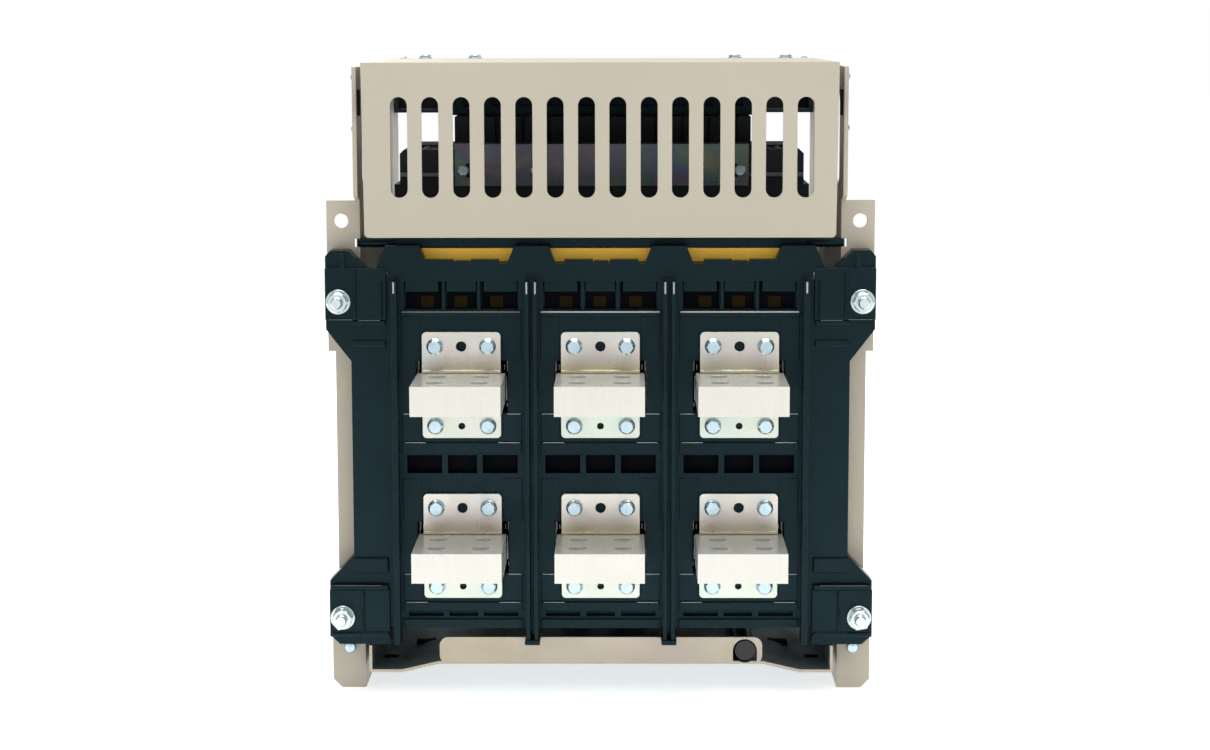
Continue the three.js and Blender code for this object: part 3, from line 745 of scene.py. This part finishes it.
def lug_details():
    """Steps and ribs moulded on the four corner lugs of the rear base."""
    for side, s in SIDES.items():
        boxes = []
        for near, far, rise, low, high in (
            (146.5, 169.5, 3.5, 258.0, 261.4),
            (146.5, 169.5, 2.0, 243.0, 247.5),
            (166.2, 167.8, 5.4, 263.0, 296.0),
            (148.5, 150.0, 5.0, 262.5, 289.0),
            (146.5, 186.5, 5.4, 74.4, 77.4),
            (146.5, 171.0, 3.0, 86.0, 96.0),
            (163.4, 165.0, 5.2, 44.0, 73.0),
            (146.5, 186.0, 5.2, 41.5, 44.4),
        ):
            boxes.append(box_at(on_side(s, near, far), (PANEL, PANEL + rise), (low, high)))
        blocks(f"lug_steps_{side}", "cradle", "base_black", boxes, None, 0.8)


def lug_glints():
    """Painted highlights along the top edges of the ridges across the lower lugs, and of the seats under the
    upper studs.
    """
    edges = ((151.0, 184.0, 5.1, 77.2), (168.5, 185.0, 5.1, 262.0), (150.0, 165.0, 3.2, 261.2))
    lines = []
    for s in (-1, 1):
        for near, far, rise, z in edges:
            y = PANEL + rise
            lines.append(box_at(on_side(s, near, far), (y, y + 0.5), (z, z + 0.5)))
    blocks("lug_glints", "cradle", "base_black", lines, "painted_dim_highlight", 0.12)


def shield_fasteners():
    """Washers, hexagon heads and two rivets on the shield's top, and a dark block at each of its sides as
    painted shade in the gap there.
    """
    piece = Piece("shield_screws")
    for x in SHIELD_SCREWS:
        piece.washer(3.5, 5.6, 0.7, (x, SHIELD_SCREW_Y, SHIELD_TOP), UP)
        piece.hex_head(7.8, 2.0, (x, SHIELD_SCREW_Y, SHIELD_TOP + 0.75), UP, x)
    rivet = [(2.8, 0), (2.7, 0.5), (2.0, 1.1), (0.9, 1.35)]
    for x in (-154.0, 153.0):
        piece.lathe(rivet, (x, SHIELD_SCREW_Y, SHIELD_TOP), UP)
    piece.done("cradle", "bracket_zinc", "bolt_zinc")
    side_shades = [box_at((a, a + 2.2), (REAR - 2.5, REAR - 0.5), (400.5, 418.0)) for a in (-164.0, 161.8)]
    blocks("edge_side_shades", "cradle", "base_black", side_shades, "painted_shade_black", 0.3)


def foot_screws():
    """Plated screws low on the rear flanges, just under the lower lugs."""
    piece = Piece("foot_screws")
    for x in (-176.0, 176.0):
        piece.lathe([(4.2, 0), (4.2, 1.2), (3.4, 2.4), (1.2, 2.8)], (x, FLANGE, 29.0), BACK)
    piece.done("cradle", "bracket_zinc", "bolt_zinc")


def side_fasteners():
    """Screws on the outer faces of the cradle's side plates, and two pressed ribs across each."""
    spots = [
        (-165, 36), (-60, 36), (30, 36), (-165, 120), (-165, 300), (-40, 74), (20, 74),
        (-120, 415), (-172, 415), (112, 390), (112, 425), (100, 240), (100, 80),
    ]
    dome = [(3.9, 0), (3.9, 1.0), (3.1, 2.0), (1.0, 2.4)]
    for side, s in SIDES.items():
        piece = Piece(f"side_screws_{side}")
        for y, z in spots:
            at = Vector((s * WEB_OUTER, y, z))
            piece.washer(1.8, 5.0, 0.6, at, (s, 0, 0))
            piece.lathe(dome, at + Vector((s * 0.6, 0, 0)), (s, 0, 0))
        piece.done("cradle", "bracket_zinc", "bolt_zinc")
        raised = on_side(s, WEB_OUTER, WEB_OUTER + 1.4)
        ribs = [box_at(raised, (-150, 95), (z, z + 10)) for z in (196, 262)]
        blocks(f"side_ribs_{side}", "cradle", "cradle_paint", ribs, None, 0.7)


def crossbar_details():
    """Screws on the front crossbar, and the secondary socket's screws, pins and dividers."""
    piece = Piece("crossbar_screws")
    for x in (-150.0, -62.0, 62.0, 150.0):
        piece.washer(2.0, 5.4, 0.8, (x, CROSSBAR_FACE, 413.0), FORWARD)
        piece.hex_head(8.0, 3.4, (x, CROSSBAR_FACE - 0.8, 413.0), FORWARD, x)
    piece.done("cradle", "bracket_zinc", "bolt_zinc")
    screws = Piece("terminal_screws")
    for i in range(20):
        at = (-104.5 + 11 * i, -140.0, SOCKET_TOP)
        screws.lathe([(2.6, 0), (2.6, 0.9), (2.1, 1.4), (0.8, 1.6)], at, UP, 20)
    screws.done("cradle", "contact_silver", "crank_black")
    pins = []
    for i, dx in itertools.product(range(10), (-4.0, 4.0)):
        pins.append(box_at(around(-99 + 22 * i + dx, 1.1), (-99.4, -93.0), (409.5, 421.0)))
    blocks("socket_pins", "cradle", "contact_silver", pins, "brass", 0.25)
    walls = [-110 + 11 * i for i in range(21)]
    dividers = [box_at(around(x, 0.6), (-146.0, -133.0), (SOCKET_TOP, SOCKET_TOP + 2.2)) for x in walls]
    blocks("terminal_dividers", "cradle", "base_black", dividers, None, 0.2)


def tray_details():
    """The lead screw's two bearings on their feet, dark blocks in the tray's slots as painted shade, and
    screws on the yoke.
    """
    piece = Piece("screw_bearing")
    for y in (-165.0, 30.0):
        piece.washer(7.4, 12.5, 9.0, (0, y, 37.0), BACK)
        piece.block((-11, y, 17.2), (11, y + 9, 25.6))
    piece.done("cradle", "racking_steel", "bare_steel", 0.4)
    slot_shades = []
    for s in (-1, 1):
        slot_shades.append(box_at(on_side(s, 120.2, 133.8), (60.2, 67.8), (16.4, 20.4)))
        slot_shades.append(box_at(on_side(s, 144.2, 153.8), (95.2, 102.8), (15.2, 17.3)))
    blocks("tray_slot_shades", "cradle", "base_black", slot_shades, "painted_shade_black", 0.3)
    screws = Piece("yoke_screws")
    for x in (-24.0, 24.0):
        screws.socket_screw(3.6, 1.6, (x, -4.0, 54.0), UP)
    screws.done("racking_yoke", "racking_steel", "bare_steel")


def chute_caps():
    """Black louvred vents over the three arc chutes."""
    for side, x in POLES.items():
        bars = [
            box_at(on_side(s, 34.0, 37.5, x), (-53.5, 4.5), (CHUTE_TOP + 0.1, CHUTE_TOP + 5.2))
            for s in (-1, 1)
        ]
        for i in range(8):
            y = -53.5 + i * 7.8
            bars.append(box_at(around(x, 34.0), (y, y + 3.4), (CHUTE_TOP + 0.1, CHUTE_TOP + 4.6)))
        blocks(f"chute_cap_{side}", "breaker", "housing_black", bars, None, 0.4)


def housing_ribs():
    """Stiffening ribs and a seam band on the breaker's moulded flanks."""
    for side, s in SIDES.items():
        raised = on_side(s, HOUSING_FLANK, HOUSING_FLANK + 1.4)
        ribs = [box_at(raised, (y, y + 6.0), (100.0, 338.0)) for y in (-106.0, -66.0, -26.0)]
        ribs.append(box_at(raised, (-112.0, 14.0), (216.0, 222.0)))
        blocks(f"housing_ribs_{side}", "breaker", "housing_black", ribs, None, 0.5)


def clamp_screws():
    """Screws holding the clamp bar to the housing, and the ledges beside it."""
    piece = Piece("clamp_screws")
    for x in (-100.0, -47.5, 47.5, 100.0):
        piece.lathe([(4.4, 0), (4.4, 1.0), (3.4, 2.2), (1.2, 2.6)], (x, 23.3, 357.0), BACK)
    piece.done("breaker", "clamp_chromate", "bolt_zinc")
    ledges = [box_at(on_side(s, 106.6, 145.5), (19.8, 23.2), (352.4, 355.6)) for s in (-1, 1)]
    blocks("housing_ledges", "breaker", "clamp_chromate", ledges, None, 0.4)


def closing_spring():
    """The coil of the closing spring around its guide."""
    turns = 15
    steps = 20
    wire = 1.5
    coil = 15.0
    length = 100.0
    piece = Piece("closing_spring")
    rows = []
    for i in range(turns * steps + 1):
        a = 2 * math.pi * i / steps
        out = Vector((math.cos(a), math.sin(a), 0))
        at = Vector((0, 0, length * i / (turns * steps))) + out * coil
        rows.append([at + out * (wire * math.cos(b)) + Vector((0, 0, wire * math.sin(b)))
                     for b in angles(8)])
    piece.rings(rows, (0, -92.0, 190.0), UP)
    piece.done("breaker", "racking_steel", "bare_steel")


def rollers():
    """Rollers on the breaker's flanks that run on the rails."""
    wheel = [(8.6, 0), (9.2, 0.5), (9.2, 3.2), (8.6, 3.7), (3.0, 3.7)]
    for side, s in SIDES.items():
        piece = Piece(f"rail_rollers_{side}")
        for y in (-96.0, 0.0):
            at = (s * (HOUSING_FLANK + 0.1), y, 62.5)
            piece.lathe(wheel, at, (s, 0, 0), 36)
        piece.done("breaker", "racking_steel", "bare_steel")


def cover_details():
    """Screws, a blank plate, frames, grip ridges and a key lock on the breaker's front cover."""
    screws = Piece("cover_screws")
    for x in (-140.0, 140.0):
        for z in (68.0, 210.0, 350.0):
            screws.socket_screw(4.2, 3.0, (x, -148.0, z), FORWARD)
    for x in (-104.0, 104.0):
        for z in (100.0, 337.0):
            screws.socket_screw(3.4, 2.4, (x, COVER_FACE, z), FORWARD)
    screws.done("breaker", "racking_steel", "bare_steel")
    plate = box_at((-70, -8), (COVER_FACE - 0.8, COVER_FACE + 0.1), (262, 326))
    blocks("blank_plate", "breaker", "cover_grey", [plate], "pale_label", 0.3)
    frames = []
    deep = (COVER_FACE - 1.0, COVER_FACE + 0.1)
    for x0, x1, z0, z1 in ((-62, -50, 198, 208), (-24, -12, 224, 234)):
        frames.append(box_at((x0 - 3, x0), deep, (z0 - 3, z1 + 3)))
        frames.append(box_at((x1, x1 + 3), deep, (z0 - 3, z1 + 3)))
        frames.append(box_at((x0, x1), deep, (z1, z1 + 3)))
        frames.append(box_at((x0, x1), deep, (z0 - 3, z0)))
    blocks("flag_frames", "breaker", "trip_grey", frames)
    rings = Piece("button_rings")
    for x in (-30.0, -62.0):
        rings.washer(10.9, 13.6, 1.6, (x, COVER_FACE, 124.0), FORWARD)
    rings.done("breaker", "trip_grey")
    ridges = []
    for x, z in itertools.product((-125, 125), range(240, 320, 7)):
        ridges.append(box_at(around(x, 9), (-149.2, -147.9), (z, z + 2.4)))
    blocks("cover_ridges", "breaker", "cover_grey", ridges, None, 0.5)
    lock = Piece("key_lock")
    barrel = [(9.5, 0), (9.5, 2.5), (8.6, 3.6), (5.0, 3.6), (4.6, 2.4), (0.5, 2.4)]
    lock.lathe(barrel, (-44.0, COVER_FACE, 165.0), FORWARD, 40)
    lock.done("breaker", "racking_steel", "bare_steel")


def trip_details():
    """Display glass, keys, indicator lamps and dials of the trip unit."""
    glass = box_at((17, 73), (-185.2, -184.0), (277, 317))
    blocks("display_glass", "breaker", "trip_grey", [glass], "screen_glass", 0.3)
    corners = itertools.product((19, 36, 53, 70), (202, 218, 234))
    keys = [box_at((x, x + 11), (-186.1, -184.4), (z, z + 9)) for x, z in corners]
    blocks("trip_keys", "breaker", "cover_grey", keys, None, 0.9)
    lamps = Piece("trip_lamps")
    for i in range(6):
        lamps.lathe([(1.6, 0), (1.5, 0.5), (0.6, 0.9)], (18 + 9 * i, TRIP_FACE, 326.0), FORWARD, 20)
    lamps.done("breaker", "indicator_green")
    dial = Piece("trip_dials")
    for x in (22.0, 46.0, 70.0):
        dial.lathe([(5.6, 0), (5.6, 1.2), (5.0, 1.8), (1.0, 1.8)], (x, TRIP_FACE, 268.5), FORWARD, 30)
    dial.done("breaker", "cover_grey")


def handle_details():
    """Grip ridges of the charging handle, and the crank's knurled knob."""
    ridges = [box_at((-99.5, -82.5), (-200.9, -199.8), (z, z + 2.2)) for z in range(186, 256, 6)]
    blocks("handle_ridges", "charging_handle", "crank_black", ridges, None, 0.6)
    knob = Piece("crank_knurl")
    rings = []
    for grow, y in ((0.0, 0.0), (0.55, 0.6), (0.55, 10.4), (0.0, 11.0)):
        low = circle(KNOB_RADIUS, y, KNURLS)
        high = circle(KNOB_RADIUS + grow, y, KNURLS)
        rings.append([high[i] if i % 2 else low[i] for i in range(KNURLS)])
    knob.rings(rings, (-100.0, -192.0, 30.8), FORWARD)
    knob.done("racking_crank", "racking_steel", "bare_steel")


# ---------------------------------------------------------------- stage
def area_light(name, at, aim, size, power):
    """A white rectangular light that faces its aim."""
    data = bpy.data.lights.new(name, "AREA")
    data.shape = "RECTANGLE"
    data.size = size[0]
    data.size_y = size[1]
    data.energy = power
    o = bpy.data.objects.new(name, data)
    o.location = at
    o.rotation_euler = (Vector(aim) - Vector(at)).to_track_quat("-Z", "Y").to_euler()
    bpy.context.scene.collection.objects.link(o)


def studio():
    """A pale floor, a dim white world that the camera sees as plain white, and soft lights."""
    s = Shader("floor_pale")
    pale = s.ramp(s.noise(1.5), [(0.3, (0.9, 0.9, 0.9)), (0.7, (0.93, 0.93, 0.93))])
    s.link(pale, s.surface.inputs["Base Color"])
    s.set(Roughness=0.7)
    s.surface.inputs["Emission Color"].default_value = (1, 1, 1, 1)
    s.surface.inputs["Emission Strength"].default_value = FLOOR_GLOW
    bpy.ops.mesh.primitive_plane_add(size=30, location=(0, 0, -0.0005))
    floor = bpy.context.object
    floor.name = "floor"
    floor.data.materials.append(s.material)
    world = bpy.data.worlds.new("studio")
    world.use_nodes = True
    tree = world.node_tree
    dim = tree.nodes["Background"]
    dim.inputs["Color"].default_value = (1, 1, 1, 1)
    dim.inputs["Strength"].default_value = WORLD_STRENGTH
    bright = tree.nodes.new("ShaderNodeBackground")
    bright.inputs["Color"].default_value = (1, 1, 1, 1)
    seen = tree.nodes.new("ShaderNodeLightPath")
    choose = tree.nodes.new("ShaderNodeMixShader")
    tree.links.new(seen.outputs["Is Camera Ray"], choose.inputs["Fac"])
    tree.links.new(dim.outputs[0], choose.inputs[1])
    tree.links.new(bright.outputs[0], choose.inputs[2])
    tree.links.new(choose.outputs[0], tree.nodes["World Output"].inputs["Surface"])
    bpy.context.scene.world = world
    area_light("key", (-1.0, 1.6, 1.7), (0, 0, 0.25), (1.3, 0.9), 10)
    area_light("fill", (1.5, 1.5, 0.8), (0, 0, 0.2), (0.9, 1.3), 4)
    area_light("top", (0, 0.1, 1.9), (0, 0, 0.3), (1.6, 1.2), 32)
    area_light("front_left", (0.9, -1.9, 1.3), (0, 0, 0.25), (1.2, 1.2), 18)
    area_light("front_right", (-1.2, -1.7, 0.8), (0, 0, 0.25), (0.9, 1.2), 8)
    bpy.context.scene.view_settings.view_transform = "Standard"


def camera():
    """The view from behind the rear terminals."""
    data = bpy.data.cameras.new("camera")
    data.lens = CAMERA_LENS
    data.sensor_width = 36.0
    data.clip_start = 0.05
    o = bpy.data.objects.new("camera", data)
    level = math.cos(CAMERA_TILT)
    ahead = Vector((math.sin(CAMERA_YAW) * level, -math.cos(CAMERA_YAW) * level, -math.sin(CAMERA_TILT)))
    turn = ahead.to_track_quat("-Z", "Y").to_matrix().to_4x4()
    o.matrix_world = Matrix.Translation(CAMERA_AT) @ turn @ Matrix.Rotation(-CAMERA_ROLL, 4, "Z")
    bpy.context.scene.collection.objects.link(o)
    bpy.context.scene.camera = o


for node_name in NODES:
    refine(node_name)
bracket_bolts()
base_studs()
base_trims()
pocket_ambers()
pocket_brows()
pocket_backs()
edge_glints()
rib_tips()
terminal_guards()
lug_details()
lug_glints()
shield_fasteners()
foot_screws()
side_fasteners()
crossbar_details()
tray_details()
chute_caps()
housing_ribs()
clamp_screws()
closing_spring()
rollers()
cover_details()
trip_details()
handle_details()
studio()
camera()
